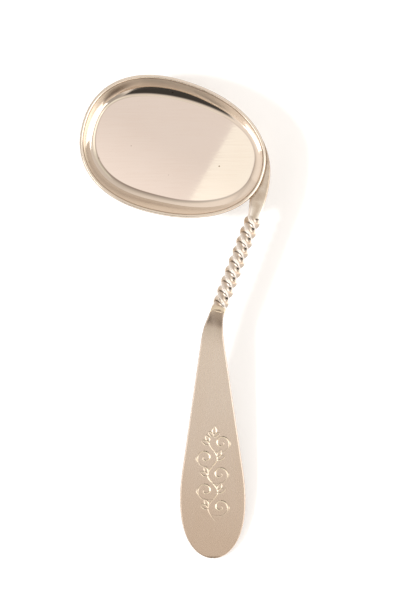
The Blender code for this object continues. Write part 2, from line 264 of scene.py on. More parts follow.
def linear(colour):
    """An sRGB hex colour as linear RGBA."""
    parts = [int(colour[i:i + 2], 16) / 255 for i in (1, 3, 5)]
    return (*(p / 12.92 if p <= 0.04045 else ((p + 0.055) / 1.055) ** 2.4 for p in parts), 1)


def add_node(tree, kind, settings={}, links={}):
    """A node with its properties and socket values, and the sockets that feed it."""
    node = tree.nodes.new(kind)
    for name, value in settings.items():
        if isinstance(name, str) and hasattr(node, name):
            setattr(node, name, value)
        else:
            node.inputs[name].default_value = value
    for name, source in links.items():
        tree.links.new(source, node.inputs[name])
    return node


def new_metal(name):
    """A bare metal: its material, its node tree and the socket for the place on the piece."""
    metal = bpy.data.materials.new(name)
    metal.use_nodes = True
    tree = metal.node_tree
    tree.nodes["Principled BSDF"].inputs["Metallic"].default_value = 1
    return metal, tree, add_node(tree, "ShaderNodeTexCoord").outputs["Object"]


def feed_shader(tree, links):
    """Link those sockets to the material's shader."""
    for name, source in links.items():
        tree.links.new(source, tree.nodes["Principled BSDF"].inputs[name])


# Polished silver sheet: a bright, warm mirror. Wiping has left fine streaks across it, drawn 0.5 mm
# apart so that they show, with a faint yellow-brown film and a few pits. The wall is duller than
# the floor, and the planishing hammer has left shallow marks in it, 1.6 mm apart.
bowl_silver, tree, place = new_metal("silver_sheet_polished")
wiped = add_node(tree, "ShaderNodeMapping",
                 {"Scale": (1 / WIPE_LENGTH, 1 / WIPE_SPACING, 1 / WIPE_SPACING)},
                 {"Vector": place})
streaks = add_node(tree, "ShaderNodeTexNoise", {"Scale": 1.0, "Detail": 3},
                   {"Vector": wiped.outputs["Vector"]})
clouds = add_node(tree, "ShaderNodeTexNoise", {"Scale": 1 / FILM_SIZE, "Detail": 2},
                  {"Vector": place})
film = add_node(tree, "ShaderNodeMath", {"operation": "MULTIPLY"},
                {0: streaks.outputs["Fac"], 1: clouds.outputs["Fac"]})
film_share = add_node(tree, "ShaderNodeMapRange", {"From Min": 0.02, "From Max": 0.6},
                      {"Value": film.outputs["Value"]})
silver_tone = add_node(tree, "ShaderNodeMix",
                   {"data_type": "RGBA", 6: linear("#F3EBE1"), 7: linear("#EFE4D8")},
                   {0: film_share.outputs["Result"]})
shifted = add_node(tree, "ShaderNodeMapping", {"Location": PIT_SHIFT}, {"Vector": place})
pits = add_node(tree, "ShaderNodeTexVoronoi", {"Scale": 1 / PIT_SPACING},
                {"Vector": shifted.outputs["Vector"]})
pit_share = add_node(tree, "ShaderNodeMapRange", {"From Min": 0.042, "From Max": 0.026},
                     {"Value": pits.outputs["Distance"]})
pitted = add_node(tree, "ShaderNodeMix", {"data_type": "RGBA", 7: linear("#9A8670")},
                  {0: pit_share.outputs["Result"], 6: silver_tone.outputs[2]})
# Painted shade from the rings: darker along the floor's edge, on the wall towards the lip, and in a
# painted dark reflection on the wall.
painted_shade = add_node(tree, "ShaderNodeAttribute", {"attribute_name": "painted_shade"})
with_painted_shade = add_node(tree, "ShaderNodeMix", {"data_type": "RGBA", 7: linear("#86705A")},
                 {0: painted_shade.outputs["Fac"], 6: pitted.outputs[2]})
gloss = add_node(tree, "ShaderNodeMapRange",
                 {"From Min": 0.3, "From Max": 0.7, "To Min": 0.015, "To Max": 0.045},
                 {"Value": streaks.outputs["Fac"]})
dull = add_node(tree, "ShaderNodeAttribute", {"attribute_name": "dull"})
rough = add_node(tree, "ShaderNodeMix", {"data_type": "FLOAT", 3: 0.5},
                 {0: dull.outputs["Fac"], 2: gloss.outputs["Result"]})
scratch = add_node(tree, "ShaderNodeBump", {"Strength": 0.004, "Distance": 0.02 * MM},
                   {"Height": streaks.outputs["Fac"]})
hammer = add_node(tree, "ShaderNodeTexNoise", {"Scale": 1 / HAMMER_SPACING, "Detail": 2},
                  {"Vector": place})
hammered = add_node(tree, "ShaderNodeMath", {"operation": "MULTIPLY"},
                    {0: hammer.outputs["Fac"], 1: dull.outputs["Fac"]})
planished = add_node(tree, "ShaderNodeBump", {"Strength": 0.25, "Distance": 0.1 * MM},
                     {"Height": hammered.outputs["Value"], "Normal": scratch.outputs["Normal"]})
feed_shader(tree, {"Base Color": with_painted_shade.outputs[2], "Roughness": rough.outputs[0],
                   "Normal": planished.outputs["Normal"]})

bowl = loft("ladle_bowl", bowl_rings())
for name, values in zip(("painted_shade", "dull"), bowl_wear_and_shade()):
    ring_attribute(bowl, name, values)
bowl.data.materials.append(bowl_silver)
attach(bowl, "root")
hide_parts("bowl")

# -------------------------------------------------------------------------------------------------
# Rim wire. A half-round silver wire, drawn through a plate and bent to the oval. It sits on the lip
# with its flat side down, stiffens the thin sheet, and is soldered all round.

WIRE_WIDTH = 1.3 * MM
WIRE_HEIGHT = 0.9 * MM
WIRE_STEPS = 14
RIM_GAP = 0.3 * MM
WIRE_SHADE_FROM = 0.8 * MM
WIRE_SHADE_FULL = 0.45 * MM
WIRE_CLOUD_SIZE = 6 * MM
NICK_SPACING = 0.5 * MM


def new_tool(name, inputs):
    """A node tree that works on a mesh: the tree, its input node and its inputs' identifiers."""
    tool = bpy.data.node_groups.new(name, "GeometryNodeTree")
    sockets = {}
    for title, kind in (("Piece", "Geometry"), *inputs, ("Metal", "Material")):
        sockets[title] = tool.interface.new_socket(
            title, in_out="INPUT", socket_type="NodeSocket" + kind).identifier
    tool.interface.new_socket("Piece", in_out="OUTPUT", socket_type="NodeSocketGeometry")
    return tool, add_node(tool, "NodeGroupInput"), sockets


def end_tool(tool, given, shape):
    """The end of every such tree: a real mesh in the given metal."""
    real = add_node(tool, "GeometryNodeRealizeInstances", {}, {"Geometry": shape})
    coated = add_node(tool, "GeometryNodeSetMaterial", {},
                      {"Geometry": real.outputs["Geometry"], "Material": given.outputs["Metal"]})
    add_node(tool, "NodeGroupOutput", {}, {"Piece": coated.outputs["Geometry"]})


def use_tool(piece, tool, sockets, values, aids=()):
    """Work on a piece, keep the result as a plain mesh, and remove the objects that helped."""
    modifier = piece.modifiers.new(tool.name, "NODES")
    modifier.node_group = tool
    for title, value in values.items():
        modifier[sockets[title]] = value
    result = bpy.data.meshes.new_from_object(
        piece.evaluated_get(bpy.context.evaluated_depsgraph_get()))
    piece.modifiers.clear()
    piece.data = result
    for aid in aids:
        bpy.data.objects.remove(aid)


# Sweep: the piece's own edges are the path, and the section follows it, level all round.
sweep, given, sweep_sockets = new_tool("sweep_along_lip", (("Section", "Object"),))
path = add_node(sweep, "GeometryNodeMeshToCurve", {}, {"Mesh": given.outputs["Piece"]})
level = add_node(sweep, "GeometryNodeSetCurveNormal", {"mode": "Z_UP"},
                 {"Curve": path.outputs["Curve"]})
section = add_node(sweep, "GeometryNodeObjectInfo", {}, {"Object": given.outputs["Section"]})
swept = add_node(sweep, "GeometryNodeCurveToMesh", {},
                 {"Curve": level.outputs["Curve"], "Profile Curve": section.outputs["Geometry"]})
shaded = add_node(sweep, "GeometryNodeSetShadeSmooth", {}, {"Geometry": swept.outputs["Mesh"]})
end_tool(sweep, given, shaded.outputs["Geometry"])


def profile_curve(name, points):
    """A closed flat curve, the section that is swept along a path."""
    curve = bpy.data.curves.new(name, "CURVE")
    spline = curve.splines.new("POLY")
    spline.points.add(len(points) - 1)
    for knot, (x, y) in zip(spline.points, points):
        knot.co = (x, y, 0, 1)
    spline.use_cyclic_u = True
    return new_object(name, curve)


def lip_path(name, height):
    """The middle line of the lip as a closed row of edges, at that height."""
    points = [oval_point(a) - oval_normal(a) * (SHEET / 2) + UP * height for a in BOWL_ANGLES]
    mesh = bpy.data.meshes.new(name)
    mesh.from_pydata(points, [(i, (i + 1) % BOWL_SIDES) for i in range(BOWL_SIDES)], [])
    return new_object(name, mesh)


def sweep_ring(name, height, section_points, metal):
    """A ring of that section along the lip."""
    piece = lip_path(name, height)
    section = profile_curve(name + "_section", section_points)
    use_tool(piece, sweep, sweep_sockets, {"Section": section, "Metal": metal}, [section])
    return piece


# Drawn silver wire: its crown is brighter than the sheet, and its flanks are darkened with painted
# brown shade down to the seam. The nicks in it are 0.5 mm apart.
rim_silver, tree, place = new_metal("silver_wire_drawn")
clouds = add_node(tree, "ShaderNodeTexNoise", {"Scale": 1 / WIRE_CLOUD_SIZE, "Detail": 3},
                  {"Vector": place})
base_tone = add_node(tree, "ShaderNodeMix",
                {"data_type": "RGBA", 6: linear("#F3ECE2"), 7: linear("#E6DACB")},
                {0: clouds.outputs["Fac"]})
level = add_node(tree, "ShaderNodeSeparateXYZ", {}, {0: place})
# Painted shade: the wire's flanks turn brown below its crown.
flank_shade = add_node(tree, "ShaderNodeMapRange",
                 {"From Min": LIP_HEIGHT + RIM_GAP + WIRE_SHADE_FROM,
                  "From Max": LIP_HEIGHT + RIM_GAP + WIRE_SHADE_FULL}, {"Value": level.outputs["Z"]})
surface_colour = add_node(tree, "ShaderNodeMix", {"data_type": "RGBA", 7: linear("#A08C78")},
                   {0: flank_shade.outputs["Result"], 6: base_tone.outputs[2]})
nicks = add_node(tree, "ShaderNodeTexNoise", {"Scale": 1 / NICK_SPACING, "Detail": 2},
                 {"Vector": place})
rough = add_node(tree, "ShaderNodeMapRange",
                 {"From Min": 0.3, "From Max": 0.7, "To Min": 0.08, "To Max": 0.2},
                 {"Value": nicks.outputs["Fac"]})
dents = add_node(tree, "ShaderNodeBump", {"Strength": 0.1, "Distance": 0.03 * MM},
                 {"Height": nicks.outputs["Fac"]})
feed_shader(tree, {"Base Color": surface_colour.outputs[2], "Roughness": rough.outputs["Result"],
                   "Normal": dents.outputs["Normal"]})

half_round = []
for i in range(WIRE_STEPS + 1):
    turn = math.pi * i / WIRE_STEPS
    half_round.append((WIRE_WIDTH / 2 * math.cos(turn), -WIRE_HEIGHT * math.sin(turn)))
rim_wire = sweep_ring("rim_wire_half_round", LIP_HEIGHT + RIM_GAP, half_round, rim_silver)
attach(rim_wire, "root")
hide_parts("rim_wire")

# -------------------------------------------------------------------------------------------------
# Rim solder. Hard silver solder that was melted along the seam between lip and wire: it ran in all
# round the bowl, and stands a little back from both faces.

RIM_SOLDER_WIDTH = 0.86 * MM
PORE_SIZE = 0.25 * MM

# Hard silver solder: greyer and duller than the silver, slightly porous, brown where it has
# tarnished. The pores are 0.25 mm across.
solder, tree, place = new_metal("hard_solder_tarnished")
pores = add_node(tree, "ShaderNodeTexNoise", {"Scale": 1 / PORE_SIZE, "Detail": 3},
                 {"Vector": place})
surface_colour = add_node(tree, "ShaderNodeMix",
                   {"data_type": "RGBA", 6: linear("#EFE4D2"), 7: linear("#C9B69C")},
                   {0: pores.outputs["Fac"]})
rough = add_node(tree, "ShaderNodeMapRange", {"To Min": 0.2, "To Max": 0.4},
                 {"Value": pores.outputs["Fac"]})
rippled = add_node(tree, "ShaderNodeBump", {"Strength": 0.3, "Distance": 0.03 * MM},
                   {"Height": pores.outputs["Fac"]})
feed_shader(tree, {"Base Color": surface_colour.outputs[2], "Roughness": rough.outputs["Result"],
                   "Normal": rippled.outputs["Normal"]})

half = RIM_SOLDER_WIDTH / 2
seam = [(half, 0), (half, -RIM_GAP), (-half, -RIM_GAP), (-half, 0)]
rim_solder = sweep_ring("rim_solder_line", LIP_HEIGHT, seam, solder)
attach(rim_solder, "root")
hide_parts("rim_solder")

# -------------------------------------------------------------------------------------------------
# Stem. One forged bar of silver: a strap beaten thin along the outside of the bowl's wall, a square
# bar twisted to the left, and a flattened end that is filed to a slope for the blade.

STRAP_TIP_ANGLE = math.radians(29.0)
STRAP_ROOT_ANGLE = math.radians(-18.5)
STRAP_TOP = 12.4 * MM
STRAP_GAP = 0.3 * MM
STRAP_GAP_AT_TIP = 0.2
STRAP_TIP_WIDTH = 0.12 * MM
STRAP_TIP_HEIGHT = 1.8 * MM
STRAP_FEATHER = 0.2
STRAP_EDGE = 0.45 * MM
ROOT_HEIGHT = 4.2 * MM
ROOT_LENGTH = 5.4 * MM
STEM_LEAN = math.radians(21.0)
STEM_OFFSET = 3.35 * MM
STEM_HEIGHT = 10.3 * MM
BAR_SIDE = 4.0 * MM
BAR_EDGE = 0.3 * MM
CORNER_LIMIT = 0.45
STEM_LENGTH = 32.0 * MM
TWIST_LENGTH = 31.4 * MM
QUARTER_TURNS = 9
TWIST_TURN = -math.pi / 2 * QUARTER_TURNS
SECTION_BLEND = 5.0 * MM
JOINT_WIDTH = 4.4 * MM
JOINT_HEIGHT = 3.0 * MM
JOINT_EDGE = 0.45 * MM
JOINT_GAP = 0.3 * MM
SCARF_LENGTH = 3.0 * MM
NECK_ROUND = (0.3 * MM, -0.5 * MM, 1.0 * MM)

# How bright polishing has left it: the strap and the reach of the ridges on a bar of half width 1.
# Then the painted shade of the flanks, with the heights over the bar's axis where that ends and is
# full.
STRAP_SHINE = -0.05
RIDGE_REACH = 0.85
FLANK_PAINTED_SHADE = 0.75
FLANK_SHADE_TOP = 1.8 * MM
FLANK_SHADE_FULL = 0.2 * MM
TOOL_MARK_SPACING = 0.6 * MM
RUBBED_PATCH_SIZE = 2.4 * MM

STRAP_STATIONS = 60
ROOT_STATIONS = 20
BAR_STATIONS = 240
CORNER_STEPS = 5
FACE_STEPS = 8

STEM_WAY = Vector((-math.sin(STEM_LEAN), -math.cos(STEM_LEAN), 0))
STEM_SIDE = Vector((math.cos(STEM_LEAN), -math.sin(STEM_LEAN), 0))

strap_root = wall_point(STRAP_ROOT_ANGLE, LIP_HEIGHT, STRAP_GAP)
bar_start = strap_root + STEM_SIDE * STEM_OFFSET + STEM_WAY * ROOT_LENGTH
bar_start.z = STEM_HEIGHT
bar_end = bar_start + STEM_WAY * STEM_LENGTH

strap_line = [oval_point(mix(STRAP_TIP_ANGLE, STRAP_ROOT_ANGLE, i / STRAP_STATIONS))
              for i in range(STRAP_STATIONS + 1)]
on_wall = sum((b - a).length for a, b in zip(strap_line, strap_line[1:]))
WALL_SHARE = on_wall / (on_wall + ROOT_LENGTH)


def rounded_section(width, height, radius):
    """A rectangle about the origin with round corners and divided sides."""
    radius = min(radius, CORNER_LIMIT * width, CORNER_LIMIT * height)
    corners = ((1, -1), (1, 1), (-1, 1), (-1, -1))
    arcs = []
    for corner, (right, top) in enumerate(corners):
        arc = []
        for i in range(CORNER_STEPS + 1):
            angle = math.pi / 2 * (corner - 1 + i / CORNER_STEPS)
            arc.append((right * (width / 2 - radius) + radius * math.cos(angle),
                        top * (height / 2 - radius) + radius * math.sin(angle)))
        arcs.append(arc)
    points = []
    for arc, following in zip(arcs, arcs[1:] + arcs[:1]):
        points += arc
        (x0, y0), (x1, y1) = arc[-1], following[0]
        points += [(mix(x0, x1, i / FACE_STEPS), mix(y0, y1, i / FACE_STEPS))
                   for i in range(1, FACE_STEPS)]
    return points


def strap_outer_edge(share):
    """The strap's outer edge in plan: a smooth curve from its tip to the far side of the bar."""
    tip = wall_point(STRAP_TIP_ANGLE, LIP_HEIGHT, STRAP_TIP_WIDTH)
    end = bar_start + STEM_SIDE * (BAR_SIDE / 2)
    normal = oval_normal(STRAP_TIP_ANGLE)
    span = (end - tip).length
    first = tip + Vector((normal.y, -normal.x, 0)) * (span / 3)
    second = end - STEM_WAY * (span / 2)
    back = 1 - share
    edge = tip * back**3 + first * 3 * back**2 * share
    edge += second * 3 * back * share**2 + end * share**3
    return Vector((edge.x, edge.y, 0))


def strap_inner_edge(share, height, outset=STRAP_GAP):
    """Its inner edge in plan: along the wall, then straight to the near side of the bar."""
    outset *= mix(STRAP_GAP_AT_TIP, 1, ease(share / STRAP_FEATHER))
    if share <= WALL_SHARE:
        angle = mix(STRAP_TIP_ANGLE, STRAP_ROOT_ANGLE, share / WALL_SHARE)
        edge = wall_point(angle, height, outset)
    else:
        end = bar_start - STEM_SIDE * (BAR_SIDE / 2)
        root = wall_point(STRAP_ROOT_ANGLE, height, outset)
        edge = mix(root, end, (share - WALL_SHARE) / (1 - WALL_SHARE))
    return Vector((edge.x, edge.y, 0))


def strap_height(share):
    """It grows along the wall, then draws in to the bar."""
    if share <= WALL_SHARE:
        return mix(STRAP_TIP_HEIGHT, ROOT_HEIGHT, ease(share / WALL_SHARE))
    return mix(ROOT_HEIGHT, BAR_SIDE, ease((share - WALL_SHARE) / (1 - WALL_SHARE)))


def strap_middle(share):
    """The height of its middle: the top stays level along the wall."""
    return STRAP_TOP - strap_height(share) / 2 if share <= WALL_SHARE else STEM_HEIGHT


def strap_ring(share):
    """Its section at that share of the way from the tip to the bar."""
    outer = strap_outer_edge(share)
    width = (outer - strap_inner_edge(share, STRAP_TOP)).length
    ring = []
    for x, y in rounded_section(width, strap_height(share), STRAP_EDGE):
        level = strap_middle(share) + y
        ring.append(mix(strap_inner_edge(share, level), outer, x / width + 0.5) + UP * level)
    return ring


def bar_ring(distance):
    """The square bar before it is twisted, spreading into its flattened end.

    The twist is an odd number of quarter turns, so the end is drawn lying on its side.
    """
    spread = ease(1 - (STEM_LENGTH - distance) / SECTION_BLEND)
    width, height = mix(BAR_SIDE, JOINT_HEIGHT, spread), mix(BAR_SIDE, JOINT_WIDTH, spread)
    middle = bar_start + STEM_WAY * distance
    return [middle + STEM_SIDE * x + UP * y for x, y in rounded_section(width, height, BAR_EDGE)]


def neck_round(across, y):
    """How far the neck's end is rounded back at that share of its half width, most at the top."""
    at_top = NECK_ROUND[0] + NECK_ROUND[1] * across + NECK_ROUND[2] * across**2
    return at_top * (0.5 + y / JOINT_HEIGHT)


def joint_ring(setback, swell=0, rounding=0):
    """The section at the sloping joint, set back along the stem from the blade's face."""
    ring = []
    for x, y in rounded_section(JOINT_WIDTH + 2 * swell, JOINT_HEIGHT + 2 * swell, JOINT_EDGE):
        along = SCARF_LENGTH * (0.5 - y / JOINT_HEIGHT) - setback
        along += rounding * neck_round(2 * x / JOINT_WIDTH, y)
        ring.append(bar_end + STEM_SIDE * x + UP * y + STEM_WAY * along)
    return ring


def stem_rings():
    """Strap, bar and end, all before the twist: the end ring is turned back by it."""
    rings = [strap_ring(WALL_SHARE * i / STRAP_STATIONS) for i in range(STRAP_STATIONS)]
    rings += [strap_ring(mix(WALL_SHARE, 1, i / ROOT_STATIONS)) for i in range(ROOT_STATIONS)]
    rings += [bar_ring(TWIST_LENGTH * i / BAR_STATIONS) for i in range(BAR_STATIONS + 1)]
    untwist = Matrix.Rotation(-TWIST_TURN, 3, STEM_WAY)
    end = [bar_end + untwist @ (point - bar_end) for point in joint_ring(JOINT_GAP)]
    turned = (CORNER_STEPS + FACE_STEPS) * QUARTER_TURNS % len(end)
    return rings + [end[-turned:] + end[:-turned]]


def stem_ridges(ring_count):
    """How far polishing reaches each point: even on the strap, most on the corners of the bar."""
    corners = []
    for x, y in rounded_section(2, 2, 2 * BAR_EDGE / BAR_SIDE):
        corners.append(min(max((x * x + y * y - 1) / RIDGE_REACH, 0), 1))
    ridges = []
    for i in range(ring_count):
        share = ease((i - STRAP_STATIONS) / ROOT_STATIONS)
        ridges.append([mix(STRAP_SHINE, corner, share) for corner in corners])
    return ridges


# Twist: every point is turned about the bar's axis by its share of the way along it.
twist, given, twist_sockets = new_tool(
    "twist_bar", (("Start", "Vector"), ("Axis", "Vector"), ("Length", "Float"), ("Turn", "Float")))
position = add_node(twist, "GeometryNodeInputPosition")
offset = add_node(twist, "ShaderNodeVectorMath", {"operation": "SUBTRACT"},
                  {0: position.outputs["Position"], 1: given.outputs["Start"]})
along = add_node(twist, "ShaderNodeVectorMath", {"operation": "DOT_PRODUCT"},
                 {0: offset.outputs["Vector"], 1: given.outputs["Axis"]})
angle = add_node(twist, "ShaderNodeMapRange", {},
                 {"Value": along.outputs["Value"], "From Max": given.outputs["Length"],
                  "To Max": given.outputs["Turn"]})
turned = add_node(twist, "ShaderNodeVectorRotate", {"rotation_type": "AXIS_ANGLE"},
                  {"Vector": position.outputs["Position"], "Center": given.outputs["Start"],
                   "Axis": given.outputs["Axis"], "Angle": angle.outputs["Result"]})
moved = add_node(twist, "GeometryNodeSetPosition", {},
                 {"Geometry": given.outputs["Piece"], "Position": turned.outputs["Vector"]})
end_tool(twist, given, moved.outputs["Geometry"])

# Forged silver, toned: polishing reaches only the ridges of the twist and the top of the strap, so
# the hollows keep a brown tarnish. The flanks below the top are darkened with painted shade. Tool
# marks 0.6 mm apart roughen it.
stem_silver, tree, place = new_metal("silver_bar_forged")
marks = add_node(tree, "ShaderNodeTexNoise", {"Scale": 1 / TOOL_MARK_SPACING, "Detail": 3},
                 {"Vector": place})
patches = add_node(tree, "ShaderNodeTexNoise", {"Scale": 1 / RUBBED_PATCH_SIZE, "Detail": 2},
                   {"Vector": place})
ridge = add_node(tree, "ShaderNodeAttribute", {"attribute_name": "ridge"})
rubbed = add_node(tree, "ShaderNodeMath", {"operation": "MULTIPLY_ADD", 1: 0.5},
                  {0: patches.outputs["Fac"], 2: ridge.outputs["Fac"]})
level = add_node(tree, "ShaderNodeSeparateXYZ", {}, {0: place})
# Painted shade: the flanks darken below the top of the bar.
flank_shade = add_node(tree, "ShaderNodeMapRange",
                 {"From Min": STEM_HEIGHT + FLANK_SHADE_TOP, "From Max": STEM_HEIGHT + FLANK_SHADE_FULL,
                  "To Max": FLANK_PAINTED_SHADE}, {"Value": level.outputs["Z"]})
polish_less_flank_shade = add_node(tree, "ShaderNodeMath", {"operation": "SUBTRACT"},
                   {0: rubbed.outputs["Value"], 1: flank_shade.outputs["Result"]})
bright = add_node(tree, "ShaderNodeMapRange", {"From Min": 0.1, "From Max": 0.85},
                  {"Value": polish_less_flank_shade.outputs["Value"]})
toned = add_node(tree, "ShaderNodeMix",
                 {"data_type": "RGBA", 6: linear("#BCAC9B"), 7: linear("#F5EFE8")},
                 {0: bright.outputs["Result"]})
rough = add_node(tree, "ShaderNodeMapRange", {"To Min": 0.22, "To Max": 0.1},
                 {"Value": bright.outputs["Result"]})
tooled = add_node(tree, "ShaderNodeBump", {"Strength": 0.15, "Distance": 0.05 * MM},
                  {"Height": marks.outputs["Fac"]})
feed_shader(tree, {"Base Color": toned.outputs[2], "Roughness": rough.outputs["Result"],
                   "Normal": tooled.outputs["Normal"]})

rings = stem_rings()
stem = loft("twisted_stem", rings)
ring_attribute(stem, "ridge", stem_ridges(len(rings)))
use_tool(stem, twist, twist_sockets,
         {"Start": bar_start, "Axis": STEM_WAY, "Length": TWIST_LENGTH, "Turn": TWIST_TURN,
          "Metal": stem_silver})
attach(stem, "root")
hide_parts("stem")

# -------------------------------------------------------------------------------------------------
# Strap solder. The same hard solder, run in between the strap and the bowl's wall: a thin film that
# follows the wall from the strap's tip to its root.

STRAP_SOLDER_INSET = 0.12 * MM

strap_rings = []
for i in range(STRAP_STATIONS + 1):
    share = WALL_SHARE * i / STRAP_STATIONS
    reach = strap_height(share) / 2 - STRAP_SOLDER_INSET
    ring = []
    for level, outset in ((-reach, STRAP_GAP), (reach, STRAP_GAP), (reach, 0), (-reach, 0)):
        level += strap_middle(share)
        ring.append(strap_inner_edge(share, level, outset) + UP * level)
    strap_rings.append(ring)
strap_solder = loft("strap_solder_line", strap_rings)
strap_solder.data.materials.append(solder)
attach(strap_solder, "root")
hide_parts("strap_solder")

# -------------------------------------------------------------------------------------------------
# Blade. Forged flat from a bar of silver: a thick neck that bends into a long taper with a round
# end. Its face is stoned to a satin, and a scrolling vine is cut into it with a graver.

BLADE_LENGTH = 78.6 * MM
BLADE_THICKNESS = 1.3 * MM
BLADE_TAPER = math.radians(8.2)
BLADE_END = 30.0 * MM
BLADE_EDGE = 0.45 * MM
NECK_LENGTH = 7.0 * MM
BEND_LENGTH = 6.0 * MM

# The vine, in millimetres on the face from its middle, right and up: the stalk's knots, each
# scroll's middle beside its knot, the husk outside it, and leaves as (rise, heading, length).
VINE_MIDDLE = 56.5 * MM
VINE_REACH = 17.5 * MM
STALK = ((0.9, -16.0), (-1.6, -11.2), (1.7, -5.6), (-1.7, 0.0), (1.6, 5.6), (-1.1, 10.6),
         (0.3, 13.6))
SCROLL_OFFSET = (4.1, 0.3)
SCROLL_TURN = math.radians(560)
SCROLL_EYE = 0.4
SCROLL_CLOSING = 0.62
HUSK = ((2.2, -1.7), (2.9, -0.6), (2.8, 0.8))
KNOT_LEAVES = ((-0.4, 62, 3.0), (0.6, 28, 2.7))
TOP_LEAVES = ((0, 8, 3.2), (-0.6, -48, 2.4), (-0.6, 60, 2.4))
LEAF_OUTLINE = ((0, 0), (0.3, 0.9), (0.65, 0.75), (1, 0))
LEAF_SIDES = ((0.26, 0.24), (-0.2, 0.2))
STALK_CUT, SCROLL_CUT, HUSK_CUT = 0.28, 0.25, 0.2
CUT_END = 0.3
CUT_FLANK = 0.5
CUT_FLOOR = (0.02 * MM, 0.06 * MM)

# Painted shade on the blade: beside the joint, at the very tip, and over its end.
NECK_SHADE_START = 1.5 * MM
NECK_SHADE_LENGTH = 13 * MM
TIP_EDGE_SHADE_LENGTH = 0.8 * MM
END_SHADE_LENGTH = 50 * MM
SMEAR_LENGTH, SMEAR_WIDTH = 22 * MM, 5 * MM
STONING_LENGTH, STONING_SPACING = 12 * MM, 0.35 * MM

NECK_SPACING = 0.4 * MM
NECK_STATIONS = 30
TAPER_STATIONS = 20
TIP_STATIONS = 60
CUT_SPACING = 0.12 * MM
CURVE_STEPS = 12
SCROLL_STEPS = 20
FACE_COLUMNS = 180
FACE_MIDDLE_SPACING = 0.7
EDGE_STEPS = 6

slope = math.atan2(STEM_HEIGHT - BLADE_THICKNESS / 2, BLADE_LENGTH)
bend_corner = bar_end + STEM_WAY * BEND_LENGTH
tip_height = (BLADE_THICKNESS / 2 - BLADE_EDGE) * math.cos(slope)
tip_height += BLADE_EDGE * (1 - math.sin(slope))
blade_tip = Vector((bend_corner.x, bend_corner.y - BLADE_LENGTH, tip_height))
SLOPE_WAY = (blade_tip - bend_corner).normalized()
BLADE_RUN = BEND_LENGTH + (blade_tip - bend_corner).length


def blade_frame(distance):
    """Point, direction and side of the blade's axis, that far along it from the joint."""
    bend_end = bend_corner + SLOPE_WAY * BEND_LENGTH
    bend_span = 2 * BEND_LENGTH
    if distance < bend_span:
        share = distance / bend_span
        point = bar_end * (1 - share) ** 2
        point += bend_corner * 2 * share * (1 - share) + bend_end * share**2
        way = mix(STEM_WAY, SLOPE_WAY, share).normalized()
    else:
        point = bend_end + SLOPE_WAY * (distance - bend_span)
        way = SLOPE_WAY
    return point, way, UP.cross(way).normalized()


def blade_half_width(distance):
    """A straight taper, rounded off at the end like half an ellipse."""
    taper = JOINT_WIDTH / 2 + math.tan(BLADE_TAPER) * distance
    from_tip = BLADE_RUN - distance
    if from_tip >= BLADE_END:
        return taper
    return taper * math.sqrt(max(1 - (1 - from_tip / BLADE_END) ** 2, 0))


def blade_stations():
    """Distances along the blade: close together at the bend, under the vine and at the tip."""
    vine_start, vine_end = VINE_MIDDLE - VINE_REACH, VINE_MIDDLE + VINE_REACH
    stations = [NECK_SPACING * i for i in range(NECK_STATIONS)]
    neck_end = NECK_SPACING * NECK_STATIONS
    stations += [mix(neck_end, vine_start, i / TAPER_STATIONS) for i in range(TAPER_STATIONS)]
    count = round((vine_end - vine_start) / CUT_SPACING)
    stations += [mix(vine_start, vine_end, i / count) for i in range(count)]
    rest = BLADE_RUN - vine_end
    stations += [vine_end + rest * math.sin(math.pi / 2 * i / TIP_STATIONS)
                 for i in range(TIP_STATIONS)]
    return stations


def edge_profile():
    """The round edge from below to above: inset and rise in edge radii, and side of the flat."""
    turns = [math.pi / 2 * i / EDGE_STEPS for i in range(EDGE_STEPS + 1)]
    lower = [(1 - math.sin(t), -1, -math.cos(t)) for t in turns]
    return lower + [(1 - math.cos(t), 1, math.sin(t)) for t in turns]


def blade_row(distance):
    """The blade's section at that distance, as a closed ring that starts at its lower left.

    At the neck the section slopes with the joint and is rounded back, less and less along it.
    """
    thickness = mix(JOINT_HEIGHT, BLADE_THICKNESS, ease(distance / NECK_LENGTH))
    radius = min(BLADE_EDGE, CORNER_LIMIT * thickness)
    flat = thickness / 2 - radius
    middle, way, side = blade_frame(distance)
    lift = way.cross(side)
    half = blade_half_width(distance)
    step = 0.01 * MM
    spread = (half - blade_half_width(distance - step)) / step if distance > 0 else 0
    at_neck = max(1 - distance / NECK_LENGTH, 0)

    def edge_point(hand, inset, level, rise):
        y = level * flat + rise * radius
        inward = (side * -hand + way * spread).normalized()
        shift = (SCARF_LENGTH * (0.5 - y / JOINT_HEIGHT) + neck_round(hand, y)) * at_neck
        return middle + way * shift + side * hand * half + inward * inset * radius + lift * y

    profile = edge_profile()
    left = [edge_point(1, *place) for place in profile]
    right = [edge_point(-1, *place) for place in reversed(profile)]
    top = flat + radius
    face = []
    for i in range(1, FACE_COLUMNS):
        place = 2 * i / FACE_COLUMNS - 1
        across = place * mix(FACE_MIDDLE_SPACING, 1, place * place)
        share = 0.5 + across / 2
        level = mix(neck_round(1, top), neck_round(-1, top), share)
        face.append(left[-1].lerp(right[0], share)
                    + way * (neck_round(-across, top) - level) * at_neck)
    return left + face + right


def blade_painted_shade(distance):
    """Painted shade beside the joint and at the very tip."""
    torch = 1 - ease((distance - NECK_SHADE_START) / NECK_SHADE_LENGTH)
    return torch + ease(1 - (BLADE_RUN - distance) / TIP_EDGE_SHADE_LENGTH)


blade = loft("handle_blade", [blade_row(distance) for distance in blade_stations()])
ring_attribute(blade, "neck_and_tip_shade", [blade_painted_shade(distance) for distance in blade_stations()])

# The vine's cuts, as lines of points with half the width of the cut at each. A cut swells in its
# middle and runs out at both ends.
cut_points, cut_widths, cut_edges = [], [], []


def on_face(right, up):
    """A point on the blade's face, in millimetres from the middle of the vine."""
    middle, way, side = blade_frame(VINE_MIDDLE)
    return middle + side * right * MM - way * up * MM + way.cross(side) * (BLADE_THICKNESS / 2)


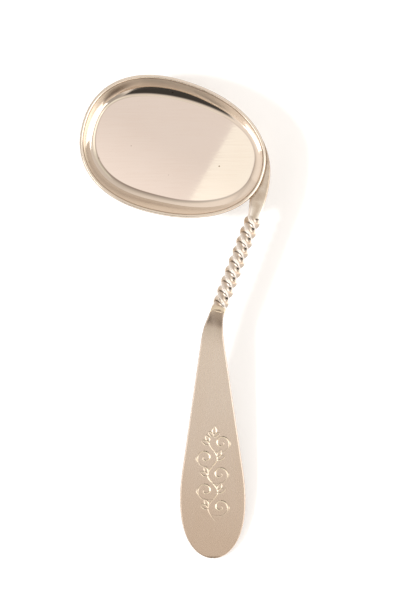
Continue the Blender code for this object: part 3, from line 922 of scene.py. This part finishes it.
def add_cut(points, widest):
    """One cut through those points, by a smooth curve, that swells to that half width in mm."""
    knots = [points[0], *points, points[-1]]
    line = []
    for run in zip(knots, knots[1:], knots[2:], knots[3:]):
        for i in range(CURVE_STEPS):
            line.append([smooth(*values, i / CURVE_STEPS) for values in zip(*run)])
    line.append(points[-1])
    first = len(cut_points)
    for i, (right, up) in enumerate(line):
        swell = math.sin(math.pi * i / (len(line) - 1))
        cut_points.append(on_face(right, up))
        cut_widths.append(widest * MM * mix(CUT_END, 1, swell))
    cut_edges.extend((k, k + 1) for k in range(first, len(cut_points) - 1))


def add_leaf(right, up, heading, length):
    """A leaf of two swelling cuts, from its base along a heading in degrees from straight up."""
    way = (math.sin(math.radians(heading)), math.cos(math.radians(heading)))
    across = (way[1], -way[0])
    for bow, widest in LEAF_SIDES:
        add_cut([(right + (way[0] * share + across[0] * bow * swell) * length,
                  up + (way[1] * share + across[1] * bow * swell) * length)
                 for share, swell in LEAF_OUTLINE], widest)


def add_scroll(middle, root, hand):
    """A tendril that leaves the stalk at its root and curls in round its middle, with a husk."""
    start = math.atan2(root[1] - middle[1], root[0] - middle[0])
    reach = math.hypot(root[0] - middle[0], root[1] - middle[1])
    points = []
    for i in range(SCROLL_STEPS + 1):
        share = i / SCROLL_STEPS
        turn = start + hand * SCROLL_TURN * share
        radius = mix(reach, SCROLL_EYE, share ** SCROLL_CLOSING)
        points.append((middle[0] + radius * math.cos(turn), middle[1] + radius * math.sin(turn)))
    add_cut(points, SCROLL_CUT)
    add_cut([(middle[0] + hand * right, middle[1] + up) for right, up in HUSK], HUSK_CUT)


add_cut(STALK, STALK_CUT)
for low, high in zip(STALK, STALK[1:-1]):
    hand = 1 if high[0] < 0 else -1
    root = (mix(low[0], high[0], 0.5), mix(low[1], high[1], 0.5))
    add_scroll((high[0] + hand * SCROLL_OFFSET[0], high[1] + SCROLL_OFFSET[1]), root, hand)
    for rise, heading, length in KNOT_LEAVES:
        add_leaf(high[0], high[1] + rise, -hand * heading, length)
for rise, heading, length in TOP_LEAVES:
    add_leaf(STALK[-1][0], STALK[-1][1] + rise, heading, length)

cuts_mesh = bpy.data.meshes.new("vine_cuts")
cuts_mesh.from_pydata(cut_points, cut_edges, [])
cuts_mesh.attributes.new("half_width", "FLOAT", "POINT")
cuts_mesh.attributes["half_width"].data.foreach_set("value", cut_widths)
cuts = new_object("vine_cuts", cuts_mesh)

# Graver: the face sinks towards the nearest cut, to a V as deep as its flanks' slope gives, and
# each point keeps how far it was cut.
graver, given, graver_sockets = new_tool("cut_with_graver",
                                         (("Cuts", "Object"), ("Flank", "Float")))
lines = add_node(graver, "GeometryNodeObjectInfo", {}, {"Object": given.outputs["Cuts"]})
near = add_node(graver, "GeometryNodeProximity", {"target_element": "EDGES"},
                {0: lines.outputs["Geometry"]})
nearest = add_node(graver, "GeometryNodeSampleNearest", {"domain": "POINT"},
                   {"Geometry": lines.outputs["Geometry"]})
width = add_node(graver, "GeometryNodeInputNamedAttribute",
                 {"data_type": "FLOAT", "Name": "half_width"})
width_there = add_node(graver, "GeometryNodeSampleIndex", {"data_type": "FLOAT", "domain": "POINT"},
                       {"Geometry": lines.outputs["Geometry"],
                        "Value": width.outputs["Attribute"], "Index": nearest.outputs["Index"]})
inside = add_node(graver, "ShaderNodeMath", {"operation": "SUBTRACT"},
                  {0: width_there.outputs["Value"], 1: near.outputs["Distance"]})
kept = add_node(graver, "ShaderNodeMath", {"operation": "MAXIMUM", 1: 0.0},
                {0: inside.outputs["Value"]})
depth = add_node(graver, "ShaderNodeMath", {"operation": "MULTIPLY"},
                 {0: kept.outputs["Value"], 1: given.outputs["Flank"]})
normal = add_node(graver, "GeometryNodeInputNormal")
facing = add_node(graver, "ShaderNodeSeparateXYZ", {}, {0: normal.outputs["Normal"]})
on_top = add_node(graver, "ShaderNodeMath", {"operation": "GREATER_THAN", 1: 0.9},
                  {0: facing.outputs["Z"]})
down = add_node(graver, "ShaderNodeMath", {"operation": "MULTIPLY"},
                {0: depth.outputs["Value"], 1: on_top.outputs["Value"]})
sunk = add_node(graver, "ShaderNodeMath", {"operation": "MULTIPLY", 1: -1.0},
                {0: down.outputs["Value"]})
drop = add_node(graver, "ShaderNodeVectorMath", {"operation": "SCALE"},
                {0: normal.outputs["Normal"], "Scale": sunk.outputs["Value"]})
noted = add_node(graver, "GeometryNodeStoreNamedAttribute",
                 {"data_type": "FLOAT", "domain": "POINT", "Name": "cut"},
                 {"Geometry": given.outputs["Piece"], "Value": down.outputs["Value"]})
moved = add_node(graver, "GeometryNodeSetPosition", {},
                 {"Geometry": noted.outputs["Geometry"], "Offset": drop.outputs["Vector"]})
end_tool(graver, given, moved.outputs["Geometry"])

# Forged silver, stoned satin: a soft sheen with fine scratches along the blade, drawn 0.35 mm apart
# so that they show. Painted shade makes it browner towards the end, next to the joint, and at the
# very tip. The cuts are bright inside.
blade_silver, tree, place = new_metal("silver_blade_satin")
along = add_node(tree, "ShaderNodeSeparateXYZ", {}, {0: place})
# Painted shade: browner towards the end of the blade.
end_shade = add_node(tree, "ShaderNodeMapRange",
                {"From Min": blade_tip.y + END_SHADE_LENGTH, "From Max": blade_tip.y,
                 "To Min": 0.0, "To Max": 0.8}, {"Value": along.outputs["Y"]})
smeared = add_node(tree, "ShaderNodeMapping",
                   {"Scale": (1 / SMEAR_WIDTH, 1 / SMEAR_LENGTH, 1 / SMEAR_WIDTH)},
                   {"Vector": place})
clouds = add_node(tree, "ShaderNodeTexNoise", {"Scale": 1.0, "Detail": 4},
                  {"Vector": smeared.outputs["Vector"]})
base_tone = add_node(tree, "ShaderNodeMath", {"operation": "MULTIPLY_ADD", 1: 0.5},
                {0: clouds.outputs["Fac"], 2: end_shade.outputs["Result"]})
silver_tone = add_node(tree, "ShaderNodeMix",
                   {"data_type": "RGBA", 6: linear("#DBD0C6"), 7: linear("#D1BFAE")},
                   {0: base_tone.outputs["Value"]})
# Painted shade beside the joint and at the very tip, mottled by the clouds.
neck_and_tip_shade = add_node(tree, "ShaderNodeAttribute", {"attribute_name": "neck_and_tip_shade"})
neck_and_tip_shade_share = add_node(tree, "ShaderNodeMath", {"operation": "MULTIPLY"},
                       {0: neck_and_tip_shade.outputs["Fac"], 1: clouds.outputs["Fac"]})
with_neck_and_tip_shade = add_node(tree, "ShaderNodeMix", {"data_type": "RGBA", 7: linear("#8A7A68")},
                   {0: neck_and_tip_shade_share.outputs["Value"], 6: silver_tone.outputs[2]})
cut = add_node(tree, "ShaderNodeAttribute", {"attribute_name": "cut"})
fresh = add_node(tree, "ShaderNodeMapRange",
                 {"From Min": CUT_FLOOR[0], "From Max": CUT_FLOOR[1]},
                 {"Value": cut.outputs["Fac"]})
cut_bright = add_node(tree, "ShaderNodeMix", {"data_type": "RGBA", 7: linear("#F5E9D2")},
                      {0: fresh.outputs["Result"], 6: with_neck_and_tip_shade.outputs[2]})
stoned = add_node(tree, "ShaderNodeMapping",
                  {"Scale": (1 / STONING_SPACING, 1 / STONING_LENGTH, 1 / STONING_SPACING)},
                  {"Vector": place})
scratches = add_node(tree, "ShaderNodeTexNoise", {"Scale": 1.0, "Detail": 3},
                     {"Vector": stoned.outputs["Vector"]})
satin = add_node(tree, "ShaderNodeMapRange",
                 {"From Min": 0.3, "From Max": 0.7, "To Min": 0.24, "To Max": 0.3},
                 {"Value": scratches.outputs["Fac"]})
rough = add_node(tree, "ShaderNodeMix", {"data_type": "FLOAT", 3: 0.12},
                 {0: fresh.outputs["Result"], 2: satin.outputs["Result"]})
scored = add_node(tree, "ShaderNodeBump", {"Strength": 0.02, "Distance": 0.03 * MM},
                  {"Height": scratches.outputs["Fac"]})
feed_shader(tree, {"Base Color": cut_bright.outputs[2], "Roughness": rough.outputs[0],
                   "Normal": scored.outputs["Normal"]})

use_tool(blade, graver, graver_sockets,
         {"Cuts": cuts, "Flank": CUT_FLANK, "Metal": blade_silver}, [cuts])
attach(blade, "root")
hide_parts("blade")

# -------------------------------------------------------------------------------------------------
# Blade solder. Hard solder again, in the sloping joint between stem and blade. Here it has not been
# filed off: it stands out as a low bead and fills the neck's rounded top edge.

# The bead, from the stem to the blade: setback and swell in millimetres, share of the neck's round.
BEAD = ((0.75, 0.0, 0), (0.65, 0.09, 0.1), (0.45, 0.15, 0.25), (0.15, 0.17, 0.5),
        (-0.15, 0.15, 0.75), (-0.35, 0.1, 0.9), (-0.45, 0.0, 1))

blade_solder = loft("blade_solder_line", [joint_ring(setback * MM, swell * MM, rounding)
                                          for setback, swell, rounding in BEAD])
blade_solder.data.materials.append(solder)
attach(blade_solder, "root")
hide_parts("blade_solder")

# -------------------------------------------------------------------------------------------------
# Table. A large sheet of white paper under the ladle, a hair lower than what stands on it. The
# camera and the silver see it lifted to white, more so far off, and it keeps the ladle's shadow.

PAPER_REACH = 1.5
PAPER_LEVEL = -0.02 * MM
PAPER_LIFT = 0.27
FAR_LIFT = 0.6
FAR_FROM, FAR_TO = 0.25, 0.7

# Matt white paper: no gloss at all, so that nothing shows in it but the shadow.
paper = bpy.data.materials.new("paper_white_matt")
paper.use_nodes = True
tree = paper.node_tree
shader = tree.nodes["Principled BSDF"]
shader.inputs["Base Color"].default_value = linear("#E2E4E6")
shader.inputs["Roughness"].default_value = 0.9
shader.inputs["Specular IOR Level"].default_value = 0
shader.inputs["Emission Color"].default_value = linear("#FFFFFF")
rays = add_node(tree, "ShaderNodeLightPath")
seen = add_node(tree, "ShaderNodeMath", {"operation": "MAXIMUM"},
                {0: rays.outputs["Is Camera Ray"], 1: rays.outputs["Is Glossy Ray"]})
from_ladle = add_node(tree, "ShaderNodeVectorMath", {"operation": "LENGTH"},
                      {0: add_node(tree, "ShaderNodeTexCoord").outputs["Object"]})
far = add_node(tree, "ShaderNodeMapRange",
               {"From Min": FAR_FROM, "From Max": FAR_TO, "To Max": FAR_LIFT},
               {"Value": from_ladle.outputs["Value"]})
far_seen = add_node(tree, "ShaderNodeMath", {"operation": "MULTIPLY"},
                    {0: far.outputs["Result"], 1: rays.outputs["Is Camera Ray"]})
lift = add_node(tree, "ShaderNodeMath", {"operation": "MULTIPLY_ADD", 1: PAPER_LIFT},
                {0: seen.outputs["Value"], 2: far_seen.outputs["Value"]})
feed_shader(tree, {"Emission Strength": lift.outputs["Value"]})

table_mesh = bpy.data.meshes.new("table")
table_mesh.from_pydata([(x * PAPER_REACH, y * PAPER_REACH, PAPER_LEVEL)
                        for x, y in ((-1, -1), (1, -1), (1, 1), (-1, 1))], [], [(0, 1, 2, 3)])
table_mesh.materials.append(paper)
table = new_object("table", table_mesh)

# -------------------------------------------------------------------------------------------------
# Light. A pale beige room round the ladle, two soft lamps that glint in the bowl's ends, a small
# lamp on the left that throws the shadow, and a panel overhead whose edge crosses the bowl's floor.
# A dark screen on the near side makes the crescent in the far bend.

# The room's linear colour, by degrees from straight overhead down to the level of the table.
ROOM = ((0.0, (0.855, 0.765, 0.725)), (4.2, (0.855, 0.765, 0.725)), (5.6, (0.66, 0.61, 0.57)),
        (13.0, (0.67, 0.61, 0.56)), (20.0, (0.80, 0.72, 0.65)), (58.0, (0.78, 0.70, 0.63)),
        (90.0, (0.87, 0.79, 0.72)))

# The screen is what lies on the inner side of these planes, each given by its normal.
SCREEN_SIDES = ((-1, 0.1, 0.235), (1, -0.49, 0.18), (0, -0.2, -0.098), (0, 0.41, 0.912))
SCREEN_EDGE = 0.05
SCREEN_LEVEL = 0.06

# Low down the room is dark on the left, and bright on the right and on the near side. The left is
# also a little brighter to well above that: the normal of a plane, and the level past it.
LOW_SIDES = (((-0.6, 0, -1), 0.2), ((0.38, 0, -1), 1.7), ((-1, 0.15, -0.45), 1.14),
             ((0, -0.45, -1), 1.7))
LOW_EDGE = 0.1

# Round patches higher up: the way to the middle, the cosines at the rim and where it is full, and
# the level. One brightens the blade's bend, one the near wall, and one dims the screen's right end.
PATCHES = (((0.26, -0.05, 0.96), 0.982, 0.995, 1.9), ((-0.05, 0.5, 0.86), 0.965, 0.993, 1.22),
           ((0.37, -0.55, 0.75), 0.945, 0.985, 0.5))

# The near left half of the room is a little brighter than the rest.
GLOW_SIDE = (-1, -1.9, 0)
GLOW_EDGE = (-0.01, 0.03)
GLOW_LEVEL = 1.17

world = bpy.data.worlds.new("pale_room")
bpy.context.scene.world = world
world.use_nodes = True
tree = world.node_tree
tree.nodes.clear()
way = add_node(tree, "ShaderNodeTexCoord").outputs["Generated"]
parts = add_node(tree, "ShaderNodeSeparateXYZ", {}, {0: way})
zenith = add_node(tree, "ShaderNodeMath", {"operation": "ARCCOSINE"}, {0: parts.outputs["Z"]})
share = add_node(tree, "ShaderNodeMath", {"operation": "DIVIDE", 1: math.pi / 2},
                 {0: zenith.outputs["Value"]})
sky = add_node(tree, "ShaderNodeValToRGB", {}, {0: share.outputs["Value"]})
ramp = sky.color_ramp.elements
while len(ramp) < len(ROOM):
    ramp.new(1.0)
for stop, (degrees, colour) in zip(ramp, ROOM):
    stop.position = degrees / 90
    stop.color = (*colour, 1)

turns = [add_node(tree, "ShaderNodeVectorMath", {"operation": "DOT_PRODUCT", 1: side}, {0: way})
         for side in SCREEN_SIDES]
inside = turns[0].outputs["Value"]
for turned in turns[1:]:
    inside = add_node(tree, "ShaderNodeMath", {"operation": "MINIMUM"},
                      {0: inside, 1: turned.outputs["Value"]}).outputs["Value"]
screen = add_node(tree, "ShaderNodeMapRange",
                  {"interpolation_type": "SMOOTHSTEP", "From Max": SCREEN_EDGE,
                   "To Min": 1.0, "To Max": SCREEN_LEVEL}, {"Value": inside})
strength = screen.outputs["Result"]

# Each change of level: the way that the view turns, where it starts and is full, and the level.
changes = [(side, 0.0, LOW_EDGE, level, "SMOOTHSTEP") for side, level in LOW_SIDES]
changes += [(Vector(middle).normalized(), rim, full, level, "SMOOTHSTEP")
            for middle, rim, full, level in PATCHES]
changes.append((GLOW_SIDE, *GLOW_EDGE, GLOW_LEVEL, "LINEAR"))
for side, start, full, level, softness in changes:
    turned = add_node(tree, "ShaderNodeVectorMath", {"operation": "DOT_PRODUCT", 1: side},
                      {0: way})
    past = add_node(tree, "ShaderNodeMapRange",
                    {"interpolation_type": softness, "From Min": start, "From Max": full,
                     "To Min": 1.0, "To Max": level}, {"Value": turned.outputs["Value"]})
    strength = add_node(tree, "ShaderNodeMath", {"operation": "MULTIPLY"},
                        {0: strength, 1: past.outputs["Result"]}).outputs["Value"]
room = add_node(tree, "ShaderNodeBackground", {},
                {"Color": sky.outputs["Color"], "Strength": strength})
white = add_node(tree, "ShaderNodeBackground", {"Color": linear("#FFFFFF"), "Strength": 1.0})
rays = add_node(tree, "ShaderNodeLightPath")
shown = add_node(tree, "ShaderNodeMixShader", {},
                 {0: rays.outputs["Is Camera Ray"], 1: room.outputs[0], 2: white.outputs[0]})
add_node(tree, "ShaderNodeOutputWorld", {}, {"Surface": shown.outputs[0]})


def soft_lamp(name, place, aim, width, height, radiance):
    """A rectangular lamp of that brightness, turned towards a point."""
    lamp = bpy.data.lights.new(name, "AREA")
    lamp.shape = "RECTANGLE"
    lamp.size, lamp.size_y = width, height
    lamp.energy = radiance * math.pi * width * height
    turn = (Vector(aim) - Vector(place)).to_track_quat("-Z", "Y")
    piece = new_object(name, lamp)
    piece.matrix_world = Matrix.Translation(place) @ turn.to_matrix().to_4x4()
    piece.visible_camera = False
    return piece


def place_with_axes(place, x_axis, y_axis, z_axis):
    """The matrix of an object at that place with its own axes along those."""
    return Matrix.Translation(place) @ Matrix((x_axis, y_axis, z_axis)).transposed().to_4x4()


soft_lamp("lamp_left", (-0.636, -0.338, 0.55), (0, 0, 0), 0.4, 0.45, 1.7)
soft_lamp("lamp_right", (0.62, -0.25, 0.62), (0, 0, 0), 0.6, 0.6, 1.55)
key = soft_lamp("lamp_key", (-0.66, -0.04, 0.61), (0, -0.04, 0), 0.13, 0.13, 100)
key.visible_glossy = False

PANEL_EDGE = (Vector((0.01585, 0.0597, 1.2)), Vector((-0.02697, -0.01436, 1.2)))
PANEL_WIDTH = 0.5
PANEL_LENGTH = 0.8
PANEL_RADIANCE = 0.28
panel_way = (PANEL_EDGE[0] - PANEL_EDGE[1]).normalized()
panel_side = panel_way.cross(UP)
panel_place = (PANEL_EDGE[0] + PANEL_EDGE[1]) / 2 + panel_side * (PANEL_WIDTH / 2)
panel = soft_lamp("panel_overhead", panel_place, panel_place - UP, PANEL_WIDTH, PANEL_LENGTH,
                  PANEL_RADIANCE)
panel.data.color = (0.85, 0.97, 0.82)
panel.matrix_world = place_with_axes(panel_place, panel_side, panel_way, UP)

# -------------------------------------------------------------------------------------------------
# Camera. Almost straight above the table, a little to the right of the ladle's middle, with a long
# lens and its top towards the bowl's far side.

EYE = Vector((0.02924, -0.01905, 0.9))
AIM = Vector((0.00965, -0.05193, 0))
LENS = 106.14
SENSOR_HEIGHT = 24

look = (AIM - EYE).normalized()
right = look.cross(Vector((0, 1, 0))).normalized()
lens = bpy.data.cameras.new("camera")
lens.sensor_fit = "VERTICAL"
lens.sensor_height = SENSOR_HEIGHT
lens.lens = LENS
camera = new_object("camera", lens)
camera.matrix_world = place_with_axes(EYE, right, right.cross(look), -look)
bpy.context.scene.camera = camera
bpy.context.scene.view_settings.view_transform = "Standard"
